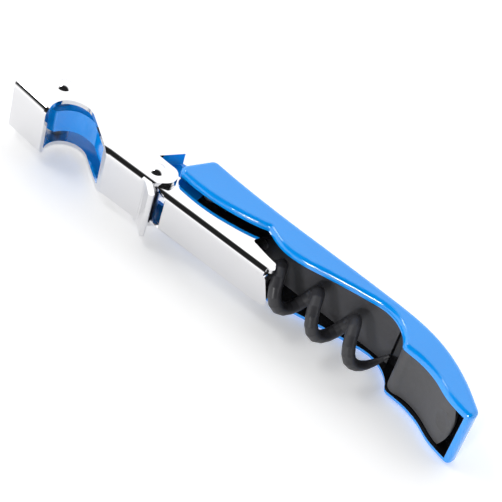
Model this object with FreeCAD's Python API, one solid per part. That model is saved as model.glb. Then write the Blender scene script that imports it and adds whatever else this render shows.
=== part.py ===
import FreeCAD, Part
import math
import os

V = FreeCAD.Vector

# Double-lever corkscrew lying on its side, millimetres.
# X runs from the cap-opener head to the tail of the handle, Y towards the back of the handle,
# Z up through the width, so that every hinge axis is parallel to Z.
# The outlines below are drawn with their own zero at the left end of the cap-opener recess and
# on the middle plane of the width. place() moves a finished solid into the part's frame.

# ---- driving dimensions -------------------------------------------------------------------
HANDLE_WIDTH = 18.6        # outside of the handle, across the two side walls
HANDLE_WALL = 1.7          # side walls
LEVER_WIDTH = 14.8         # outside of the upper lever
SHEET = 1.2                # sheet of the upper lever
LOWER_SHEET = 1.1          # sheet of the lower lever
SIDE_GAP = 0.1             # between the plates of the two levers, each side
BEND = 1.7                 # outside radius of the folded sheet
TONGUE_HALF = 3.4          # half thickness of the handle's tongue
LINER = 0.6                # sheet of the handle's liner
EDGE_ROUND = 1.1           # rounding of the handle's outside edges

EYE = (-2.2, 7.4)          # upper lever turns on the handle's tongue here
HINGE = (26.9, 4.2)        # lower lever turns on the upper lever here
WORM_PIVOT = (38.6, 9.4)   # worm turns in the handle here
KNIFE_PIVOT = (93.6, 7.3)  # foil-cutter carrier turns in the handle here

RIVET_RADIUS = 1.25        # shanks of the two lever rivets
RIVET_HEAD = 1.8           # radius of the domed heads
HEAD_HEIGHT = 0.7
PIN_RADIUS = 1.2           # worm pin and knife pin
RUNNING = 0.05             # radial play of everything that turns on a pin

WIRE = 2.9                 # worm wire
WORM_RADIUS = 3.8          # of the wire's centre line
WORM_PITCH = 9.85
WORM_AXIS_Y = 4.3
WORM_ROOT_X = 52.4         # the wire leaves the axis here
WORM_TOP_X = 58.6          # the wire is at the helix's +Y side here
WORM_FULL_X = 59.5         # and at its full radius here
POINT_X = 83.7             # the wire tapers from here
POINT_LENGTH = 5.4
POINT_TURN = 0.4
TIP_RADIUS = 0.35
HUB_REACH = 2.2            # from the worm pin to the end of the wire, inside the hub

TAIL_END = 112.8
CROWN_Y = 14.6
LIP_Y = -2.5

# ---- worked out from them -------------------------------------------------------------------
HW = HANDLE_WIDTH / 2
CAVITY = HW - HANDLE_WALL
LEVER_OUT = LEVER_WIDTH / 2
LEVER_IN = LEVER_OUT - SHEET
LOWER_OUT = LEVER_IN - SIDE_GAP
LOWER_IN = LOWER_OUT - LOWER_SHEET
# reach of the rounded corners, which sets the middle of the bounding box
REACH_X = (-10.614, 112.656)
REACH_Y = (-2.362, 14.6)
OFFSET = V(-sum(REACH_X) / 2, -sum(REACH_Y) / 2, HW)


def v(point, z=0.0):
    return V(point[0], point[1], z)


def line(a, b):
    return Part.LineSegment(v(a), v(b)).toShape()


def arc(a, mid, b):
    return Part.Arc(v(a), v(mid), v(b)).toShape()


def curve(points):
    spline = Part.BSplineCurve()
    spline.interpolate([v(p) for p in points])
    return spline.toShape()


def slab(edges, z0, z1):
    """A solid between two heights, from the edges of a closed outline."""
    face = Part.Face(Part.Wire(edges))
    face.translate(V(0, 0, z0))
    return face.extrude(V(0, 0, z1 - z0))


def polygon(points, z0, z1):
    closed = points + [points[0]]
    return slab([line(a, b) for a, b in zip(closed, closed[1:])], z0, z1)


def rod(centre, radius, z0, z1):
    return Part.makeCylinder(radius, z1 - z0, v(centre, z0), V(0, 0, 1))


def along_z(shape):
    """Edges that run across the width."""
    return [e for e in shape.Edges
            if len(e.Vertexes) == 2
            and abs(e.Vertexes[0].X - e.Vertexes[1].X) < 1e-6
            and abs(e.Vertexes[0].Y - e.Vertexes[1].Y) < 1e-6]


def edges_near(shape, points, z, reach=0.3):
    """Edges in the plane at height z that pass close to one of the points."""
    found = []
    for e in shape.Edges:
        box = e.BoundBox
        if abs(box.ZMin - z) > 1e-6 or abs(box.ZMax - z) > 1e-6:
            continue
        for p in points:
            if e.distToShape(Part.Vertex(v(p, z)))[0] < reach:
                found.append(e)
                break
    return found


def corners_near(shape, points, reach=0.3):
    """Corner edges along Z that stand at one of the points."""
    found = []
    for e in along_z(shape):
        x, y = e.Vertexes[0].X, e.Vertexes[0].Y
        if any(math.hypot(x - p[0], y - p[1]) < reach for p in points):
            found.append(e)
    return found


def dome(centre, z, up):
    """Low domed rivet head on the plane at height z, pointing up (+1) or down (-1)."""
    ball_radius = (RIVET_HEAD ** 2 + HEAD_HEIGHT ** 2) / (2 * HEAD_HEIGHT)
    ball = Part.makeSphere(ball_radius, v(centre, z + up * (HEAD_HEIGHT - ball_radius)))
    keep = rod(centre, RIVET_HEAD + 0.5, *sorted((z, z + up * (HEAD_HEIGHT + 0.5))))
    return ball.common(keep)


def place(shape):
    placed = shape.copy()
    placed.translate(OFFSET)
    return placed


# ---- handle ---------------------------------------------------------------------------------
SHOULDER_LOW = (29.8, 6.6)
SHOULDER_TOP = (33.9, 13.2)
BACK_START = (35.9, 14.1)
BACK_END = (109.4, 5.0)
TAIL_HIGH = (TAIL_END, 2.4)
TAIL_LOW = (112.3, -0.3)
RIM_END = (110.0, 0.1)
TAIL_CUSP = (91.8, 4.7)
RIM_CUSP = (53.9, 8.4)


def handle_outline():
    back = [BACK_START, (42, 13.6), (52, 13.15), (62, 13.0), (72, 12.95), (82, 12.8), (88, 12.6),
            (93, 12.1), (98.2, 10.9), (102.9, 9.0), (106.5, 7.0), BACK_END]
    tail_rim = [RIM_END, (107.6, 0.6), (105, 1.45), (102.2, 2.85), (99.5, 3.8), (96.4, 4.4), (94, 4.55),
                TAIL_CUSP]
    arch = [TAIL_CUSP, (90.9, 6.4), (88.9, 8.2), (86.6, 9.3), (84.0, 9.75), (81.0, 9.5), (74.3, 8.4),
            (69.6, 7.5), (65.5, 6.65), (61.5, 6.3), (58.5, 6.6), (56.2, 7.4), RIM_CUSP]
    front_rim = [RIM_CUSP, (49.9, 7.2), (46.1, 6.5), (42.3, 6.0), (38.4, 5.8), (34, 6.0), SHOULDER_LOW]
    return [line(SHOULDER_LOW, SHOULDER_TOP),
            arc(SHOULDER_TOP, (34.6, 13.9), BACK_START),
            curve(back),
            line(BACK_END, TAIL_HIGH),
            line(TAIL_HIGH, TAIL_LOW),
            line(TAIL_LOW, RIM_END),
            curve(tail_rim),
            curve(arch),
            curve(front_rim)]


def handle_cavity():
    inner_back = [(36.9, 12.2), (42, 12.0), (52, 11.6), (62, 11.5), (72, 11.45), (82, 11.3),
                  (87.6, 11.1), (92.4, 10.5), (97.4, 9.4), (101.9, 7.9), (105.4, 5.9), (108.7, 3.6)]
    floor = -4.0
    return [line((24, floor), (24, 7.9)),
            line((24, 7.9), (32.2, 7.9)),
            line((32.2, 7.9), (35.2, 11.9)),
            line((35.2, 11.9), inner_back[0]),
            curve(inner_back),
            line(inner_back[-1], (110.8, 1.9)),
            line((110.8, 1.9), (110.8, floor)),
            line((110.8, floor), (24, floor))]


def tongue():
    boss = 4.3
    top = [(EYE[0], EYE[1] + boss), (1.5, 12.5), (5.5, 13.7), (10.5, 14.2), (16.5, 13.1),
           (22, 12.3), (28, 12.5), (34.6, 13.6)]
    under = [(8.6, 6.9), (5.8, 7.3), (2.9, 6.7), (0.7, 4.9), (-0.2, EYE[1] - boss + 0.45)]
    edges = [curve(top),
             line(top[-1], (34.6, 9.0)),
             line((34.6, 9.0), (30.6, 7.9)),
             line((30.6, 7.9), (24.2, 6.5)),
             line((24.2, 6.5), (20.6, 1.8)),
             line((20.6, 1.8), (16.2, 1.8)),
             line((16.2, 1.8), under[0]),
             curve(under),
             arc(under[-1], (EYE[0] - boss, EYE[1]), top[0])]
    body = slab(edges, -TONGUE_HALF, TONGUE_HALF)
    return body.makeFillet(1.0, corners_near(body, [(24.2, 6.5), (20.6, 1.8), (16.2, 1.8)]))


def handle_shell():
    body = slab(handle_outline(), -HW, HW)
    body = body.makeFillet(1.5, corners_near(body, [SHOULDER_LOW, TAIL_CUSP, TAIL_HIGH, BACK_END]))
    body = body.makeFillet(1.25, corners_near(body, [TAIL_LOW]))
    body = body.makeFillet(0.8, corners_near(body, [RIM_CUSP, RIM_END]))
    rims = [e for z in (-HW, HW) for e in body.Edges
            if abs(e.BoundBox.ZMin - z) < 1e-6 and abs(e.BoundBox.ZMax - z) < 1e-6]
    body = body.makeFillet(EDGE_ROUND, rims)
    body = body.cut(slab(handle_cavity(), -CAVITY, CAVITY))
    body = body.fuse(tongue())
    body = body.cut(rod(EYE, RIVET_RADIUS + RUNNING, -HW, HW))
    blind = HW - 0.6
    for centre in (WORM_PIVOT, KNIFE_PIVOT):
        body = body.cut(rod(centre, PIN_RADIUS + 0.01, -blind, blind))
    return body.removeSplitter()


LINER_RIVETS = ((46.5, 11.0), (52.5, 10.79))    # place along X, and the seat of the head


def handle_liner():
    """Thin dark sheet that covers the inside of the back, behind the worm."""
    width = CAVITY - 0.15
    lower = [(44.0, 11.2), (52, 10.86), (62, 10.76), (72, 10.71), (82, 10.56), (88.4, 10.28)]
    upper = [(x, y + LINER) for x, y in reversed(lower)]
    edges = [curve(lower), line(lower[-1], upper[0]), curve(upper), line(upper[-1], lower[0])]
    body = slab(edges, -width, width)
    for x, _ in LINER_RIVETS:
        body = body.cut(liner_hole(x, 0.9))
    return body


def liner_hole(x, radius):
    return Part.makeCylinder(radius, 3.0, V(x, 9.6, 0), V(0, 1, 0))


def liner_rivet(x, seat):
    """Flat-headed rivet that holds the liner to the back."""
    shank = Part.makeCylinder(0.85, 1.35, V(x, seat, 0), V(0, 1, 0))
    head = Part.makeCylinder(1.5, 0.3, V(x, seat - 0.3, 0), V(0, 1, 0))
    return shank.fuse(head)


def rivet_sockets(body):
    for x, seat in LINER_RIVETS:
        body = body.cut(Part.makeCylinder(0.87, 1.4, V(x, seat, 0), V(0, 1, 0)))
    return body


# ---- upper lever ----------------------------------------------------------------------------
WEB_LEFT = (-9.9, -0.3)
WEB_MID = (-0.8, -1.3)
WEB_NECK = (16.8, -0.1)
WEB_END = (26.8, 0.0)
HORN = (28.3, 12.0)
NOTCH_1 = (24.7, 7.4)
LOBE_TOP = (28.6, 7.2)
LOBE_SIDE = (31.5, 4.8)


def upper_profile():
    crown = [HORN, (25.5, 11.75), (21.5, 11.0), (17.2, 10.6), (13.2, 11.4), (9.6, 13.3), (6.4, 14.3),
             (2.8, CROWN_Y), (-0.9, 14.2), (-4.2, 12.8), (-6.9, 10.6), (-9.3, 7.2), (-10.55, 3.6),
             WEB_LEFT]
    return [line(WEB_LEFT, WEB_MID),
            line(WEB_MID, WEB_NECK),
            line(WEB_NECK, WEB_END),
            line(WEB_END, (28.9, 0.9)),
            curve([(28.9, 0.9), (30.2, 2.2), (31.2, 3.4), LOBE_SIDE]),
            arc(LOBE_SIDE, (30.6, 6.6), LOBE_TOP),
            line(LOBE_TOP, NOTCH_1),
            line(NOTCH_1, HORN),
            curve(crown)]


def cap_recess():
    """Cut that hooks a crown cap: a round claw on the left, a long slope and a lip on the right."""
    under = -4.0
    return [line((0, under), (0, 0)),
            curve([(0, 0), (-0.25, 1.8), (0.6, 4.0), (2.9, 5.8), (5.8, 6.3), (8.0, 5.5)]),
            line((8.0, 5.5), (17.0, -0.6)),
            line((17.0, -0.6), (17.0, under)),
            line((17.0, under), (0, under))]


def upper_lever():
    body = slab(upper_profile(), -LEVER_OUT, LEVER_OUT)
    bottoms = [(-6, -0.74), (6, -0.83), (22, -0.05)]
    body = body.makeFillet(BEND, edges_near(body, bottoms, LEVER_OUT) + edges_near(body, bottoms, -LEVER_OUT))
    inside = [(-14, -0.3 + SHEET + 0.45), WEB_LEFT, WEB_MID, WEB_NECK, (WEB_END[0] + 0.6, 0.0)]
    floor = [(x, y + SHEET) for x, y in inside[1:]]
    channel = polygon([(-14, 1.4)] + floor + [(30.0, -0.6), (40, -0.6), (40, 20), (-14, 20)],
                      -LEVER_IN, LEVER_IN)
    floor_edges = [(-6, 0.46), (6, 0.37), (22, 1.15)]
    channel = channel.makeFillet(0.5, edges_near(channel, floor_edges, LEVER_IN)
                                 + edges_near(channel, floor_edges, -LEVER_IN))
    body = body.cut(channel)
    body = body.cut(slab(cap_recess(), -20, 20))
    body = body.fuse(pull_lip())
    for side in (-1, 1):
        body = body.fuse(step_flange(side))
    body = body.cut(rod(EYE, RIVET_RADIUS + 0.01, -20, 20))
    body = body.cut(rod(HINGE, RIVET_RADIUS + 0.01, -20, 20))
    return body.removeSplitter()


def pull_lip():
    """End of the web, turned down and out to catch a finger or the rim of a bottle."""
    profile = [(26.0, 0.0), (26.8, 0.0), (27.6, -0.5), (30.0, LIP_Y), (31.0, -1.65), (28.6, 0.5),
               (27.5, 1.2), (26.0, 1.2)]
    body = polygon(profile, -LEVER_IN - 0.9, LEVER_IN + 0.9)
    return body.makeFillet(0.45, corners_near(body, [(30.0, LIP_Y), (31.0, -1.65), (27.6, -0.5)]))


def step_flange(side):
    """First step: the sloped edge of the notch is folded inwards to bear on the rim."""
    dx, dy = HORN[0] - NOTCH_1[0], HORN[1] - NOTCH_1[1]
    length = math.hypot(dx, dy)
    nx, ny = dy / length, -dx / length
    a = (NOTCH_1[0] + 0.06 * dx, NOTCH_1[1] + 0.06 * dy)
    b = HORN
    inner_a = (a[0] - nx * SHEET, a[1] - ny * SHEET)
    inner_b = (b[0] - nx * SHEET, b[1] - ny * SHEET)
    depth = TONGUE_HALF + 0.4
    z0, z1 = sorted((side * depth, side * (LEVER_OUT - 0.3)))
    return polygon([a, b, inner_b, inner_a], z0, z1)


def lever_rivet(centre, half_grip):
    body = rod(centre, RIVET_RADIUS, -half_grip, half_grip)
    body = body.fuse(dome(centre, half_grip, 1))
    return body.fuse(dome(centre, -half_grip, -1))


def ring(centre, outer, inner, z0, z1):
    return rod(centre, outer, z0, z1).cut(rod(centre, inner, z0, z1))


def eye_washer(side):
    """Spacer between the tongue and one plate of the upper lever."""
    z0, z1 = sorted((side * (TONGUE_HALF + 0.05), side * (LEVER_IN - 0.05)))
    return ring(EYE, 2.6, RIVET_RADIUS + RUNNING, z0, z1)


# ---- lower lever ----------------------------------------------------------------------------
LOWER_WEB_Y = 0.6
LOWER_BOSS = 2.75
PRONG_TOP = (55.0, 9.7)
NOTCH_2 = (52.7, 5.6)
PRONG_TIP = (60.1, 3.3)
WEB_2_END = 59.2           # the end of the web is cut on a slant, from here on the near side
WEB_2_FAR = 62.3           # to here on the far side


def lower_profile():
    boss_top = (HINGE[0], HINGE[1] + LOWER_BOSS)
    boss_low = (HINGE[0] + 1.3, HINGE[1] - math.sqrt(LOWER_BOSS ** 2 - 1.3 ** 2))
    return [line(boss_low, (32.4, LOWER_WEB_Y)),
            line((32.4, LOWER_WEB_Y), (WEB_2_END, LOWER_WEB_Y)),
            line((WEB_2_END, LOWER_WEB_Y), (WEB_2_END, LOWER_WEB_Y + LOWER_SHEET)),
            curve([(WEB_2_END, LOWER_WEB_Y + LOWER_SHEET), (60.6, 2.3), PRONG_TIP]),
            arc(PRONG_TIP, (59.8, 3.75), (59.2, 3.9)),
            curve([(59.2, 3.9), (56.3, 4.4), (53.6, 5.0)]),
            arc((53.6, 5.0), (52.9, 5.25), NOTCH_2),
            curve([NOTCH_2, (53.6, 7.6), PRONG_TOP]),
            curve([PRONG_TOP, (53.0, 10.0), (49.5, 9.0), (45.5, 7.4), (42.0, 6.95)]),
            line((42.0, 6.95), boss_top),
            arc(boss_top, (HINGE[0] - LOWER_BOSS, HINGE[1]), boss_low)]


def lower_lever():
    body = slab(lower_profile(), -LOWER_OUT, LOWER_OUT)
    low = [(45, LOWER_WEB_Y)]
    body = body.makeFillet(1.6, edges_near(body, low, LOWER_OUT) + edges_near(body, low, -LOWER_OUT))
    top = LOWER_WEB_Y + LOWER_SHEET
    channel = polygon([(20, top), (70, top), (70, 20), (20, 20)], -LOWER_IN, LOWER_IN)
    channel = channel.makeFillet(0.5, edges_near(channel, [(45, top)], LOWER_IN)
                                 + edges_near(channel, [(45, top)], -LOWER_IN))
    body = body.cut(channel)
    body = body.cut(polygon([(20, -2), (32.3, -2), (32.3, top), (20, top + 2)], -LOWER_IN, LOWER_IN))
    body = body.fuse(web_end())
    body = body.cut(rod(HINGE, RIVET_RADIUS + RUNNING, -20, 20))
    return body.removeSplitter()


def web_end():
    """Slanted end of the lower lever's web, with rounded corners."""
    half = LOWER_OUT - 1.6
    corners = [V(WEB_2_END - 2.0, LOWER_WEB_Y, -half), V(WEB_2_FAR, LOWER_WEB_Y, -half),
               V(WEB_2_END + 0.6, LOWER_WEB_Y, half), V(WEB_2_END - 2.0, LOWER_WEB_Y, half)]
    body = Part.Face(Part.makePolygon(corners + corners[:1])).extrude(V(0, LOWER_SHEET, 0))
    outer = [e for e in body.Edges if e.BoundBox.XMin > WEB_2_END and e.BoundBox.XLength < 1e-6]
    return body.makeFillet(1.4, outer)


def hinge_sleeve():
    """Spacer tube on the hinge rivet, between the plates of the lower lever."""
    reach = LOWER_IN - 0.05
    return ring(HINGE, 1.75, RIVET_RADIUS + 0.01, -reach, reach)


# ---- worm -----------------------------------------------------------------------------------
def worm_centre(x):
    """Centre of the wire on the helix, at a place along X."""
    grow = min(1.0, max(0.0, (x - WORM_ROOT_X) / (WORM_FULL_X - WORM_ROOT_X)))
    radius = WORM_RADIUS * grow * grow * (3 - 2 * grow)
    turns = (min(x, POINT_X) - WORM_TOP_X) / WORM_PITCH
    if x > POINT_X:
        turns += POINT_TURN * (x - POINT_X) / POINT_LENGTH
    angle = 2 * math.pi * turns
    return V(x, WORM_AXIS_Y + radius * math.cos(angle), radius * math.sin(angle))


def worm_stations():
    """Places along the worm's wire, each with the wire's radius there."""
    start_x, start_y = WORM_PIVOT[0] + HUB_REACH, WORM_PIVOT[1]
    full = WIRE / 2
    shank = [V(start_x, start_y, 0), V(start_x + 1.5, start_y - 0.2, 0), V(start_x + 3.7, start_y - 1.4, 0),
             V(start_x + 5.8, start_y - 3.1, 0), V(start_x + 8.0, start_y - 4.6, 0)]
    stations = [(p, full) for p in shank]
    step = WORM_PITCH / 14
    count = int(round((POINT_X - WORM_ROOT_X) / step))
    for i in range(count + 1):
        stations.append((worm_centre(WORM_ROOT_X + (POINT_X - WORM_ROOT_X) * i / count), full))
    for i in range(1, 9):
        share = i / 8
        radius = full + (TIP_RADIUS - full) * share ** 1.3
        stations.append((worm_centre(POINT_X + share * POINT_LENGTH), radius))
    return stations


def worm():
    """Coated steel screw: a shank that bends to the axis, a helix and a point."""
    stations = worm_stations()
    rings = []
    side = V(0, 0, 1)
    for i, (centre, radius) in enumerate(stations):
        before, after = stations[max(0, i - 1)][0], stations[min(len(stations) - 1, i + 1)][0]
        ahead = after.sub(before).normalize()
        side = side.sub(V(ahead).multiply(side.dot(ahead))).normalize()
        up = ahead.cross(side)
        circle = Part.makeCircle(radius)
        circle.Placement = FreeCAD.Placement(FreeCAD.Matrix(
            side.x, up.x, ahead.x, centre.x,
            side.y, up.y, ahead.y, centre.y,
            side.z, up.z, ahead.z, centre.z,
            0, 0, 0, 1))
        rings.append(Part.Wire([circle]))
    return Part.makeLoft(rings, True, True)


def worm_hub():
    """Flat steel eye on the end of the shank, which turns on the worm pin."""
    eye = rod(WORM_PIVOT, 2.3, -1.5, 1.5)
    end_x = WORM_PIVOT[0] + HUB_REACH + 1.2
    block = Part.makeBox(end_x - WORM_PIVOT[0], 3.0, 3.0, V(WORM_PIVOT[0], WORM_PIVOT[1] - 1.5, -1.5))
    bore = Part.makeCylinder(WIRE / 2, 3.0, V(WORM_PIVOT[0] + HUB_REACH, WORM_PIVOT[1], 0), V(1, 0, 0))
    body = eye.fuse(block).cut(bore)
    return body.cut(rod(WORM_PIVOT, PIN_RADIUS + RUNNING, -3, 3)).removeSplitter()


def through_pin(centre):
    reach = HW - 0.65
    return rod(centre, PIN_RADIUS, -reach, reach)


def worm_bush(side):
    """Tube on the worm pin that keeps the worm in the middle of the handle."""
    z0, z1 = sorted((side * 1.6, side * (CAVITY - 0.05)))
    return ring(WORM_PIVOT, 2.0, PIN_RADIUS + 0.01, z0, z1)


# ---- foil cutter ----------------------------------------------------------------------------
KNUCKLE = 2.3
CARRIER_END = 109.45
END_RADIUS = 17.7          # of the rounded free end, seen square to the cover
BLADE_HALF = 0.4
RIB_HALF = 2.0
BLADE_RIVETS = ((99.6, 5.9), (104.2, 3.75))


def carrier_skin():
    """Cover of the foil cutter: it fills the open side of the tail and ends in a rounded lip."""
    low = [(KNIFE_PIVOT[0] + 0.2, KNIFE_PIVOT[1] - KNUCKLE), (97, 5.3), (99.8, 4.75), (102.4, 3.75),
           (105.2, 2.35), (108.9, 1.3)]
    high = [(108.8, 2.55), (105.4, 3.8), (102.9, 5.2), (100.4, 6.4), (97.4, 7.2),
            (KNIFE_PIVOT[0] + 1.6, KNIFE_PIVOT[1] + 0.6)]
    width = CAVITY - 0.25
    edges = [curve(low), arc(low[-1], (109.5, 1.9), high[0]), curve(high), line(high[-1], low[0])]
    skin = slab(edges, -width, width)
    knuckle = rod(KNIFE_PIVOT, KNUCKLE, -width, width)
    return skin.fuse(knuckle)


def knife_carrier():
    body = carrier_skin()
    body = body.cut(rod(KNIFE_PIVOT, PIN_RADIUS + RUNNING, -20, 20))
    body = body.cut(slab(blade_outline(0.03), -BLADE_HALF - 0.02, BLADE_HALF + 0.02))
    for centre in BLADE_RIVETS:
        body = body.cut(rod(centre, 0.62, -RIB_HALF, RIB_HALF))
    round_end = Part.makeCylinder(END_RADIUS, 30, V(CARRIER_END - END_RADIUS, -10, 0), V(0, 1, 0))
    dent = Part.makeSphere(9.0, V(104.35, -6.38, 0))
    front = Part.makeBox(11, 30, 30, V(KNIFE_PIVOT[0] - 5, -10, -15))
    return body.common(round_end.fuse(front)).cut(dent).removeSplitter()


def blade_outline(grow=0.0):
    """Foil-cutter blade: back edge in the carrier, saw teeth along the free edge."""
    teeth = 9
    start, end = (97.2, 8.3), (105.2, 4.7)
    edge = []
    for i in range(teeth):
        for share, depth in ((0.0, 0.0), (0.5, 0.3)):
            t = (i + share) / teeth
            bulge = 0.9 * math.sin(math.pi * t)
            x = start[0] + t * (end[0] - start[0]) + 0.42 * (bulge - depth)
            y = start[1] + t * (end[1] - start[1]) + 0.9 * (bulge * 0.35 - depth)
            edge.append((x, y + grow))
    edge.append((end[0], end[1] + grow))
    back = [(105.9 + grow, 3.2 - grow), (103.2, 3.9 - grow), (100.0, 5.4 - grow), (97.4 - grow, 5.9 - grow)]
    ring_points = edge + back
    closed = ring_points + [ring_points[0]]
    return [line(a, b) for a, b in zip(closed, closed[1:])]


def knife_blade():
    body = slab(blade_outline(), -BLADE_HALF, BLADE_HALF)
    for centre in BLADE_RIVETS:
        body = body.cut(rod(centre, 0.6, -1, 1))
    return body


def blade_rivet(centre):
    return rod(centre, 0.6, -RIB_HALF + 0.02, RIB_HALF - 0.02)


if __name__ == "__main__":
    os.makedirs("parts", exist_ok=True)
    parts = {
        "handle_shell": rivet_sockets(handle_shell()),
        "handle_liner": handle_liner(),
        "liner_rivet_front": liner_rivet(*LINER_RIVETS[0]),
        "liner_rivet_rear": liner_rivet(*LINER_RIVETS[1]),
        "upper_lever": upper_lever(),
        "eye_rivet": lever_rivet(EYE, LEVER_OUT),
        "eye_washer_near": eye_washer(1),
        "eye_washer_far": eye_washer(-1),
        "hinge_rivet": lever_rivet(HINGE, LEVER_OUT),
        "lower_lever": lower_lever(),
        "hinge_sleeve": hinge_sleeve(),
        "worm": worm(),
        "worm_hub": worm_hub(),
        "worm_pin": through_pin(WORM_PIVOT),
        "worm_bush_near": worm_bush(1),
        "worm_bush_far": worm_bush(-1),
        "knife_carrier": knife_carrier(),
        "knife_blade": knife_blade(),
        "blade_rivet_front": blade_rivet(BLADE_RIVETS[0]),
        "blade_rivet_rear": blade_rivet(BLADE_RIVETS[1]),
        "knife_pin": through_pin(KNIFE_PIVOT),
    }
    for name, shape in parts.items():
        placed = place(shape)
        placed.exportStep(f"parts/{name}.step")
        box = placed.BoundBox
        print(f"{name}: {len(placed.Solids)} solid(s), {placed.Volume:.1f} mm3, valid {placed.isValid()}, "
              f"x {box.XMin:.1f}..{box.XMax:.1f}, y {box.YMin:.1f}..{box.YMax:.1f}, "
              f"z {box.ZMin:.1f}..{box.ZMax:.1f}")
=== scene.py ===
# %% [markdown]
# A folding waiter's corkscrew lies on its side on a pale table. The metal and plastic pieces come
# ready made, in metres, with the long axis along X and the width along Z. The first step loads
# them, drops the empty nodes and bakes each piece's placement into its mesh.

import math

import bpy
from mathutils import Matrix, Vector

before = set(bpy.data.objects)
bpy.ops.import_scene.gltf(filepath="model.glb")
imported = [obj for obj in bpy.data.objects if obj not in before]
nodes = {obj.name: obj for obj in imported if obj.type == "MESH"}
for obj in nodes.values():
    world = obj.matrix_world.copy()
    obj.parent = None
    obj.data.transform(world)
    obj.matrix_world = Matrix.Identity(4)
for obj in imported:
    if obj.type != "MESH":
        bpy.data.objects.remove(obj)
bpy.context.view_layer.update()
MM = 0.001

# %% [markdown]
# Every finish is a small network of nodes. One function adds a node with its settings and links,
# and one turns the sRGB hex value of a colour, as a paint chart gives it, to the linear values
# that the shader needs.

# %% Two helpers for finishes
def linear(hex_value):
    """Linear RGBA of an sRGB hex colour such as '#0A7BFF'."""
    channels = [int(hex_value[i:i + 2], 16) / 255 for i in (1, 3, 5)]
    return [c / 12.92 if c <= 0.04045 else ((c + 0.055) / 1.055) ** 2.4 for c in channels] + [1.0]


def add(tree, kind, links=None, values=None, **settings):
    """Adds a node. Links and values go to its sockets by name, settings to the node itself."""
    node = tree.nodes.new(kind)
    for name, value in settings.items():
        setattr(node, name, value)
    for name, value in (values or {}).items():
        node.inputs[name].default_value = value
    for name, source in (links or {}).items():
        tree.links.new(source, node.inputs[name])
    return node


def blend(tree, factor, low, high):
    """A colour between two sRGB hex colours, by a factor socket."""
    mix = add(tree, "ShaderNodeMix", {"Factor": factor}, data_type="RGBA")
    first, second = 6, 7                # the two colour sockets; other sockets share their names
    mix.inputs[first].default_value = linear(low)
    mix.inputs[second].default_value = linear(high)
    return mix.outputs[2]


def start(name):
    """A new material with only its output node; returns the material and its tree."""
    material = bpy.data.materials.new(name)
    material.use_nodes = True
    material.node_tree.nodes.clear()
    return material, material.node_tree


def finish_with(tree, shader):
    add(tree, "ShaderNodeOutputMaterial", {"Surface": shader.outputs[0]})


def paint(material, *names):
    """Gives a material to all the faces of the named pieces."""
    for name in names:
        nodes[name].data.materials.clear()
        nodes[name].data.materials.append(material)


# %% [markdown]
# The handle is injection-moulded ABS in a bright blue. ABS has an IOR of about 1.54. A polished
# mould leaves a near-mirror skin with a very slight unevenness, about 3 mm from crest to crest,
# that bends the reflections a little. The pigment is nearly even, with faint flow clouds. A
# clear coat socket stands for the resin-rich skin that gives moulded plastic its wet shine. The
# inside of the channel, where shade falls, gets painted shade: a near-black finish that a mask
# puts on the faces that look into it.

# %% Where the inside of the channel is
CHANNEL_ALONG = (-14.0 * MM, 59.85 * MM)        # where the channel runs, along X
CHANNEL_ACROSS = (1.66 * MM, 16.94 * MM)        # and between its side walls, along Z
FACING_IN = (-2.0, 0.2)                         # Y of the normals of faces that look into it


def product(tree, first, second):
    return add(tree, "ShaderNodeMath", {0: first, 1: second}, operation="MULTIPLY").outputs[0]


def between(tree, value, limits):
    """1 where the value lies between two limits, 0 elsewhere."""
    over = add(tree, "ShaderNodeMath", {0: value}, {1: limits[0]}, operation="GREATER_THAN")
    under = add(tree, "ShaderNodeMath", {0: value}, {1: limits[1]}, operation="LESS_THAN")
    return product(tree, over.outputs[0], under.outputs[0])


def channel_shade_mask(tree, place):
    """1 on the faces that look into the channel, between the two side walls, which get painted shade.
    """
    axes = add(tree, "ShaderNodeSeparateXYZ", {0: place.outputs["Object"]})
    facing = add(tree, "ShaderNodeSeparateXYZ", {0: place.outputs["Normal"]})
    along = between(tree, axes.outputs[0], CHANNEL_ALONG)
    across = between(tree, axes.outputs[2], CHANNEL_ACROSS)
    inward = between(tree, facing.outputs[1], FACING_IN)
    return product(tree, product(tree, along, across), inward)


# %% Polished blue ABS for the handle
def polished_blue_abs():
    material, tree = start("polished blue ABS")
    place = add(tree, "ShaderNodeTexCoord")
    clouds = add(tree, "ShaderNodeTexNoise", {"Vector": place.outputs["Object"]},
                 values={"Scale": 1 / (18 * MM), "Detail": 3.0, "Roughness": 0.5})
    tint = blend(tree, clouds.outputs["Fac"], "#0092F2", "#009EFF")
    skin = add(tree, "ShaderNodeTexNoise", {"Vector": place.outputs["Object"]},
               values={"Scale": 1 / (3 * MM), "Detail": 2.0, "Roughness": 0.4})
    dents = add(tree, "ShaderNodeBump", {"Height": skin.outputs["Fac"]},
                values={"Strength": 0.08, "Distance": 0.05 * MM})
    gloss = add(tree, "ShaderNodeMapRange", {"Value": clouds.outputs["Fac"]},
                values={"To Min": 0.1, "To Max": 0.17})
    shader = add(tree, "ShaderNodeBsdfPrincipled",
                 {"Base Color": tint, "Roughness": gloss.outputs[0], "Normal": dents.outputs[0]},
                 values={"IOR": 1.54, "Coat Weight": 0.5, "Coat Roughness": 0.04})
    # Painted shade: a near-black finish on the faces inside the channel, standing for the shade that
    # falls there.
    inside = add(tree, "ShaderNodeBsdfPrincipled",
                 {"Normal": dents.outputs[0], "Roughness": gloss.outputs[0]},
                 values={"Base Color": linear("#141416"), "IOR": 1.5})
    mixed = add(tree, "ShaderNodeMixShader",
                {0: channel_shade_mask(tree, place), 1: shader.outputs[0], 2: inside.outputs[0]})
    finish_with(tree, mixed)
    return material


paint(polished_blue_abs(), "handle_shell")
print("handle: polished blue ABS")

# %% [markdown]
# The two levers are pressed from steel sheet, folded to a channel and chrome plated. Chrome shows
# almost nothing of its own, only what stands round it. The press leaves the flats a little wavy,
# and years of polishing leave hairlines too fine to see one by one, so the hairlines are drawn
# coarser, about 0.3 mm apart, and very shallow.

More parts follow.
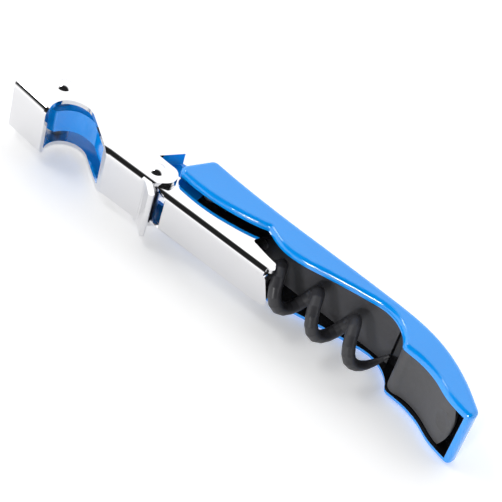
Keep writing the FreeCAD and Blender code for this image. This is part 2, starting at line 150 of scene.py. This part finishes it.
# %% Chrome plate for the pressed levers
def chrome_plate(name):
    material, tree = start(name)
    place = add(tree, "ShaderNodeTexCoord")
    stretch = add(tree, "ShaderNodeMapping", {"Vector": place.outputs["Object"]},
                  values={"Scale": (0.12, 1.0, 1.0)})
    lines = add(tree, "ShaderNodeTexNoise", {"Vector": stretch.outputs[0]},
                values={"Scale": 1 / (0.3 * MM), "Detail": 3.0, "Roughness": 0.6})
    waves = add(tree, "ShaderNodeTexNoise", {"Vector": place.outputs["Object"]},
                values={"Scale": 1 / (9 * MM), "Detail": 1.0})
    wavy = add(tree, "ShaderNodeBump", {"Height": waves.outputs["Fac"]},
               values={"Strength": 0.12, "Distance": 0.2 * MM})
    fine = add(tree, "ShaderNodeBump", {"Height": lines.outputs["Fac"], "Normal": wavy.outputs[0]},
               values={"Strength": 0.012, "Distance": 0.02 * MM})
    rough = add(tree, "ShaderNodeMapRange", {"Value": lines.outputs["Fac"]},
                values={"To Min": 0.03, "To Max": 0.09})
    shader = add(tree, "ShaderNodeBsdfPrincipled",
                 {"Roughness": rough.outputs[0], "Normal": fine.outputs[0]},
                 values={"Base Color": linear("#E2E2E4"), "Metallic": 1.0})
    finish_with(tree, shader)
    return material


paint(chrome_plate("chrome plate on pressed steel"),
      "upper_lever", "lower_lever", "eye_rivet", "hinge_rivet")
print("levers and their rivets: chrome plate")

# %% [markdown]
# The pins, washers, bushes and the hub are plain drawn or turned steel. Drawing leaves fine lines
# along the wire, and turning leaves rings, so the roughness changes in narrow stripes.

# %% Drawn steel for pins and washers
def drawn_steel(name, hex_value, stripe_mm):
    material, tree = start(name)
    place = add(tree, "ShaderNodeTexCoord")
    stretch = add(tree, "ShaderNodeMapping", {"Vector": place.outputs["Object"]},
                  values={"Scale": (1.0, 1.0, 0.08)})
    lines = add(tree, "ShaderNodeTexNoise", {"Vector": stretch.outputs[0]},
                values={"Scale": 1 / (stripe_mm * MM), "Detail": 4.0, "Roughness": 0.65})
    rough = add(tree, "ShaderNodeMapRange", {"Value": lines.outputs["Fac"]},
                values={"To Min": 0.2, "To Max": 0.42})
    relief = add(tree, "ShaderNodeBump", {"Height": lines.outputs["Fac"]},
                 values={"Strength": 0.15, "Distance": 0.02 * MM})
    shader = add(tree, "ShaderNodeBsdfPrincipled",
                 {"Roughness": rough.outputs[0], "Normal": relief.outputs[0]},
                 values={"Base Color": linear(hex_value), "Metallic": 1.0})
    finish_with(tree, shader)
    return material


paint(drawn_steel("drawn steel wire and tube", "#CBCBCD", 0.25),
      "worm_pin", "worm_bush_near", "worm_bush_far", "knife_pin", "eye_washer_near", "eye_washer_far",
      "hinge_sleeve", "worm_hub", "liner_rivet_front", "liner_rivet_rear")
paint(drawn_steel("ground stainless blade", "#D6D6D8", 0.15),
      "knife_blade", "blade_rivet_front", "blade_rivet_rear")
print("small steel pieces: drawn steel, blade: ground stainless")

# %% [markdown]
# The worm is hardened steel wire with a baked non-stick coating, a black fluoropolymer. It is
# satin, with broad soft highlights, and the sprayed film has a grain of about 0.2 mm. Corks rub
# it a little thinner and shinier in patches.

# %% Baked non-stick coating for the worm
def baked_coating():
    material, tree = start("baked fluoropolymer coating")
    place = add(tree, "ShaderNodeTexCoord")
    grain = add(tree, "ShaderNodeTexNoise", {"Vector": place.outputs["Object"]},
                values={"Scale": 1 / (0.25 * MM), "Detail": 3.0, "Roughness": 0.6})
    patches = add(tree, "ShaderNodeTexNoise", {"Vector": place.outputs["Object"]},
                  values={"Scale": 1 / (5 * MM), "Detail": 2.0})
    tint = blend(tree, patches.outputs["Fac"], "#2B2B2E", "#3B3B3F")
    rough = add(tree, "ShaderNodeMapRange", {"Value": patches.outputs["Fac"]},
                values={"From Min": 0.3, "From Max": 0.7, "To Min": 0.36, "To Max": 0.5})
    relief = add(tree, "ShaderNodeBump", {"Height": grain.outputs["Fac"]},
                 values={"Strength": 0.2, "Distance": 0.03 * MM})
    shader = add(tree, "ShaderNodeBsdfPrincipled",
                 {"Base Color": tint, "Roughness": rough.outputs[0], "Normal": relief.outputs[0]},
                 values={"IOR": 1.4})
    finish_with(tree, shader)
    return material


paint(baked_coating(), "worm")
print("worm: baked coating")

# %% [markdown]
# The foil cutter's cover and the liner behind the worm are moulded in dark grey plastic from a
# mould with a spark-eroded surface. Spark erosion leaves small round pits, about 0.35 mm across,
# which scatter light and make the plastic look matt and a little paler than its pigment.

# %% Spark-textured dark plastic for the foil cutter and the liner
def spark_plastic(name, dark, light):
    material, tree = start(name)
    place = add(tree, "ShaderNodeTexCoord")
    pits = add(tree, "ShaderNodeTexVoronoi", {"Vector": place.outputs["Object"]},
               values={"Scale": 1 / (0.35 * MM), "Randomness": 1.0})
    mottle = add(tree, "ShaderNodeTexNoise", {"Vector": place.outputs["Object"]},
                 values={"Scale": 1 / (1.6 * MM), "Detail": 5.0, "Roughness": 0.7})
    tint = blend(tree, mottle.outputs["Fac"], dark, light)
    relief = add(tree, "ShaderNodeBump", {"Height": pits.outputs["Distance"]},
                 values={"Strength": 0.35, "Distance": 0.04 * MM})
    rough = add(tree, "ShaderNodeMapRange", {"Value": mottle.outputs["Fac"]},
                values={"To Min": 0.42, "To Max": 0.6})
    shader = add(tree, "ShaderNodeBsdfPrincipled",
                 {"Base Color": tint, "Roughness": rough.outputs[0], "Normal": relief.outputs[0]},
                 values={"IOR": 1.53})
    finish_with(tree, shader)
    return material


paint(spark_plastic("spark-textured nylon, dark grey", "#3C3C3E", "#545457"), "knife_carrier")
paint(spark_plastic("spark-textured liner, dark grey", "#38383B", "#4C4C50"), "handle_liner")
print("foil cutter and liner: spark-textured plastic")

# %% [markdown]
# The table is a plain white sheet, larger than any view of the object needs. It glows faintly,
# like a sheet lit from below, which keeps shadows pale. A white room lights everything evenly.
# Polished metal needs something dark to mirror, or it looks like paper, so the part of the room
# behind the camera is dark, like the unlit side of a studio.

# %% Table, room and lights
bpy.ops.object.select_all(action="DESELECT")
bpy.ops.mesh.primitive_plane_add(size=3.0, location=(0, 0, 0))
table = bpy.context.object
table.name = "table"
sheet, sheet_tree = start("white table sheet")
sheet_place = add(sheet_tree, "ShaderNodeTexCoord")
sheet_grain = add(sheet_tree, "ShaderNodeTexNoise", {"Vector": sheet_place.outputs["Object"]},
                  values={"Scale": 60.0})
sheet_tone = blend(sheet_tree, sheet_grain.outputs["Fac"], "#F4F4F4", "#FAFAFA")
sheet_shader = add(sheet_tree, "ShaderNodeBsdfPrincipled",
                   {"Base Color": sheet_tone, "Emission Color": sheet_tone},
                   values={"Roughness": 0.9, "Emission Strength": 0.3})
finish_with(sheet_tree, sheet_shader)
table.data.materials.append(sheet)

CAMERA_TURN, CAMERA_RISE, CAMERA_ROLL = 24.01, 50.97, 17.74
turn, rise, roll = (math.radians(a) for a in (CAMERA_TURN, CAMERA_RISE, CAMERA_ROLL))
towards_camera = Vector((math.sin(turn) * math.cos(rise),
                         -math.cos(turn) * math.cos(rise),
                         math.sin(rise)))

ROOM_LIGHT, ROOM_DARK = 1.45, 0.02      # brightness of the room and of its dark part
DARK_FROM, DARK_FULL = 0.5, 0.72        # cosine of the angle to the camera, at the edge of the dark
BACKDROP = 1.2                          # brightness of what the camera sees past the table
WHITE = (1, 1, 1, 1)

world = bpy.data.worlds.new("white room")
bpy.context.scene.world = world
world.use_nodes = True
room = world.node_tree
room.nodes.clear()
look = add(room, "ShaderNodeTexCoord")
facing = add(room, "ShaderNodeVectorMath", {0: look.outputs["Generated"]}, operation="DOT_PRODUCT")
facing.inputs[1].default_value = towards_camera
shade = add(room, "ShaderNodeMapRange", {"Value": facing.outputs["Value"]},
            {"From Min": DARK_FROM, "From Max": DARK_FULL, "To Min": ROOM_LIGHT, "To Max": ROOM_DARK},
            interpolation_type="SMOOTHSTEP")
seen = add(room, "ShaderNodeLightPath")
backdrop = add(room, "ShaderNodeBackground", values={"Color": WHITE, "Strength": BACKDROP})
around = add(room, "ShaderNodeBackground", {"Strength": shade.outputs[0]}, {"Color": WHITE})
both = add(room, "ShaderNodeMixShader",
           {0: seen.outputs["Is Camera Ray"], 1: around.outputs[0], 2: backdrop.outputs[0]})
add(room, "ShaderNodeOutputWorld", {"Surface": both.outputs[0]})


def soft_box(name, position, size, watts):
    bpy.ops.object.light_add(type="AREA", location=position)
    lamp = bpy.context.object
    lamp.name = name
    lamp.data.shape = "DISK"
    lamp.data.size = size
    lamp.data.energy = watts
    lamp.rotation_euler = (Vector((0, 0, 0.01)) - Vector(position)).to_track_quat("-Z", "Y").to_euler()
    return lamp


soft_box("key", (0.05, -0.75, 0.25), 0.12, 2.2)
soft_box("fill", (-0.6, -0.1, 0.9), 0.3, 1.5)
print("table, white room and two soft lights")

# %% [markdown]
# The camera stands above the front edge, turned a little to the tail, and is rolled so that the
# corkscrew runs down to the right. A long lens keeps the far end from shrinking.

# %% Camera
LENS = 145.8                        # millimetres on a 36 mm sensor
AIM = Vector((0.206, 2.746, 7.0)) * MM
DISTANCE = 435.54 * MM
forward = -towards_camera
level = forward.cross(Vector((0, 0, 1))).normalized()
upright = level.cross(forward)
right = level * math.cos(roll) + upright * math.sin(roll)
up = upright * math.cos(roll) - level * math.sin(roll)
camera_data = bpy.data.cameras.new("camera")
camera_data.lens = LENS
camera_data.clip_start, camera_data.clip_end = 0.01, 10.0
camera = bpy.data.objects.new("camera", camera_data)
bpy.context.scene.collection.objects.link(camera)
facing_matrix = Matrix((right, up, -forward)).transposed().to_4x4()
camera.matrix_world = Matrix.Translation(AIM + towards_camera * DISTANCE) @ facing_matrix
bpy.context.scene.camera = camera
bpy.context.scene.view_settings.view_transform = "Standard"
print("camera at mm:", [round(c / MM) for c in camera.matrix_world.translation])
